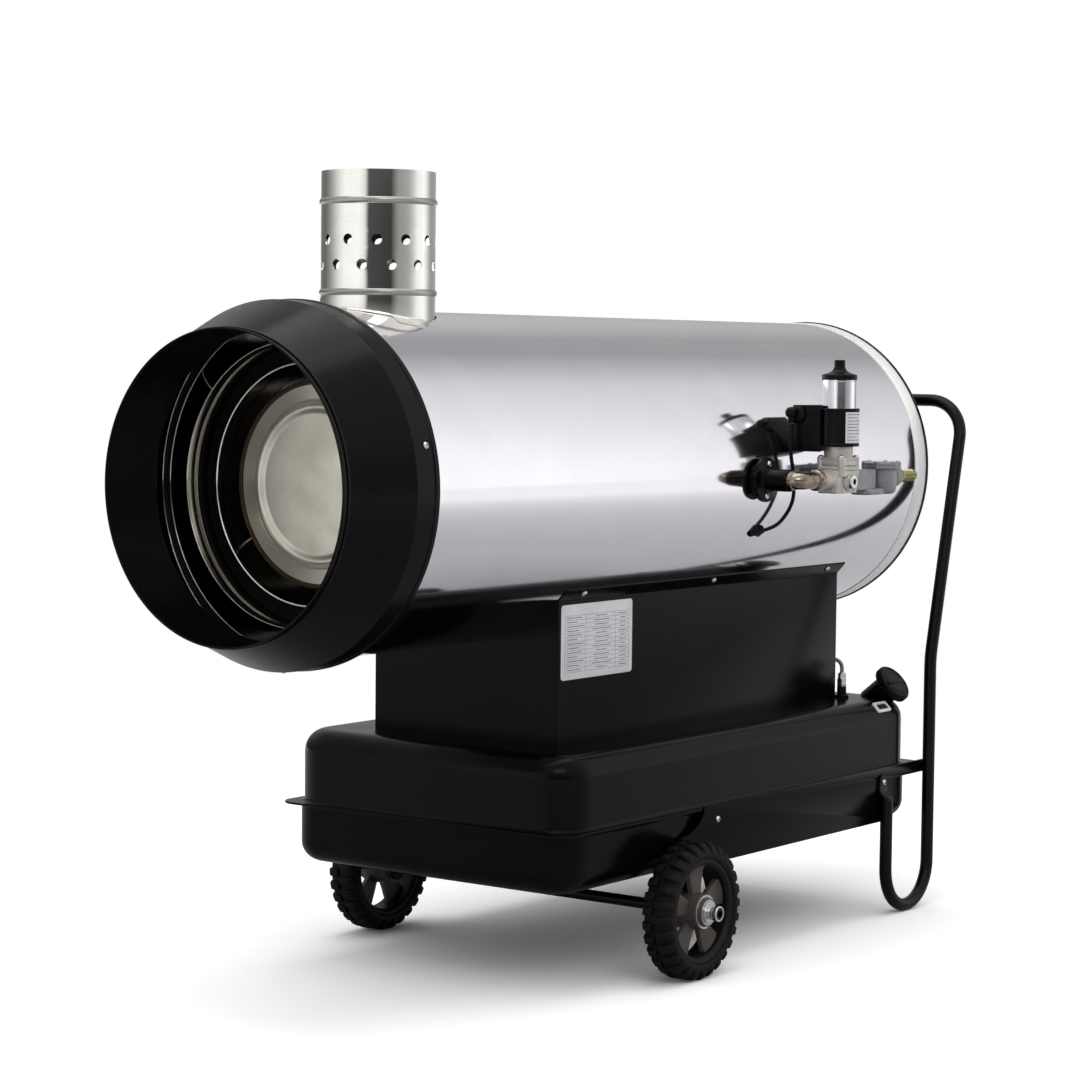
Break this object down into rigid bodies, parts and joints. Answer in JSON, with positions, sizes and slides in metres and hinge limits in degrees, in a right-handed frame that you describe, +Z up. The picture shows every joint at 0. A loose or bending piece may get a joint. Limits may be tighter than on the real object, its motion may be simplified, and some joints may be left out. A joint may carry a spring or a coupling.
{
  "type": "indirect-fired space heater",
  "caption": "Wheeled indirect-fired heater: steel body with flue, black outlet cone, fuel tank, push handle and a gas train on its side.",
  "frame": {"origin": "on the floor, midway along and midway across the heater", "axes": "+X from the hot-air outlet to the push handle, -Y the side of the gas train, +Z up"},
  "size_m": [1.447, 0.646, 1.0885],
  "materials": {
    "stainless": "mirror polished stainless sheet",
    "dull_stainless": "plain stainless sheet, warm from heat",
    "black_paint": "semi-gloss black coating",
    "black_tube": "semi-gloss black coating on tube",
    "grey_paint": "grey machine enamel",
    "zinc": "bright zinc plate",
    "warm_zinc": "hot dip galvanised",
    "cast_alloy": "shot blasted casting",
    "bright_alloy": "brushed tube",
    "passivated": "yellow passivated",
    "label": "bare silver plate",
    "black_plastic": "moulded",
    "rim_plastic": "moulded, brown grey",
    "red_plastic": "moulded",
    "rubber": "matt",
    "tyre": "moulded rubber",
    "gauge": "clear over a pale frame",
    "copper": "drawn pipe"
  },
  "bodies": {
    "heater": {"body_shell": "stainless", "rear_band": "stainless", "outlet_cone": "black_paint", "outlet_spigot": "black_paint", "exchanger_drum": "dull_stainless", "combustion_chamber": "dull_stainless", "chamber_disc": "dull_stainless", "flue_pipe": "stainless", "flue_saddle": "stainless", "burner_tube": "dull_stainless", "burner_head": "dull_stainless", "fan_motor": "grey_paint", "fan_guard": "black_paint", "box_side_left": "black_paint", "box_side_right": "black_paint", "box_front": "black_paint", "box_rear": "black_paint", "box_floor": "black_paint", "rating_plate": "label", "fuel_pump": "grey_paint", "ignition_transformer": "black_plastic", "control_unit": "black_plastic", "mains_gland": "black_plastic", "tank_upper_shell": "black_paint", "tank_lower_shell": "black_paint", "filler_neck": "black_paint", "level_window": "gauge", "pickup_fitting": "zinc", "fuel_line": "copper", "drain_plug": "zinc", "side_plate_left": "black_paint", "side_plate_right": "black_paint", "axle": "zinc", "wheel_bushes": "zinc", "axle_washers": "zinc", "handle_frame": "black_tube", "gas_flange": "cast_alloy", "gas_elbow": "warm_zinc", "valve_body": "cast_alloy", "valve_bonnet": "cast_alloy", "valve_coil": "black_plastic", "valve_tube": "bright_alloy", "valve_cap": "black_plastic", "terminal_box": "black_plastic", "gas_filter": "cast_alloy", "gas_nipple": "passivated", "cable_gland": "black_plastic", "valve_cable": "rubber", "cable_grommet": "rubber", "screws": "zinc"},
    "wheel_left": {"wheel_left_rim": "rim_plastic", "wheel_left_tyre": "tyre"},
    "wheel_right": {"wheel_right_rim": "rim_plastic", "wheel_right_tyre": "tyre"},
    "fan_rotor": {"fan": "bright_alloy"},
    "cap_seal": {"cap_gasket": "rubber"},
    "cap": {"filler_cap": "black_plastic"},
    "rocker": {"mains_switch": "red_plastic"},
    "selector": {"fuel_selector": "black_plastic"},
    "button": {"reset_button": "red_plastic"}
  },
  "joints": [
    {"name": "wheel_left_spin", "type": "hinge", "parent": "heater", "child": "wheel_left", "pos_m": [-0.073, 0.277, 0.095], "axis": [0, 1, 0], "continuous": true},
    {"name": "wheel_right_spin", "type": "hinge", "parent": "heater", "child": "wheel_right", "pos_m": [-0.073, -0.277, 0.095], "axis": [0, 1, 0], "continuous": true},
    {"name": "fan_spin", "type": "hinge", "parent": "heater", "child": "fan_rotor", "pos_m": [0.4845, 0, 0.683], "axis": [1, 0, 0], "continuous": true},
    {"name": "cap_lift", "type": "slide", "parent": "heater", "child": "cap_seal", "axis": [0, -0.766, 0.6428], "range_m": [0, 0.01]},
    {"name": "cap_turn", "type": "hinge", "parent": "cap_seal", "child": "cap", "pos_m": [0.5765, -0.191, 0.3235], "axis": [0, -0.766, 0.6428], "range_deg": [0, 722]},
    {"name": "rocker_tip", "type": "hinge", "parent": "heater", "child": "rocker", "pos_m": [0.3065, 0.1494, 0.43], "axis": [1, 0, 0], "range_deg": [0, 20]},
    {"name": "selector_turn", "type": "hinge", "parent": "heater", "child": "selector", "pos_m": [0.3565, 0.16, 0.43], "axis": [0, 1, 0], "range_deg": [-45, 45]},
    {"name": "button_press", "type": "slide", "parent": "heater", "child": "button", "axis": [0, -1, 0], "range_m": [0, 0.003], "stiffness_N_per_m": 300, "springref_m": -0.002}
  ],
  "couplings": [
    {"joint": "cap_turn", "follows": "cap_lift", "rad_per_m": 1256.6}
  ]
}
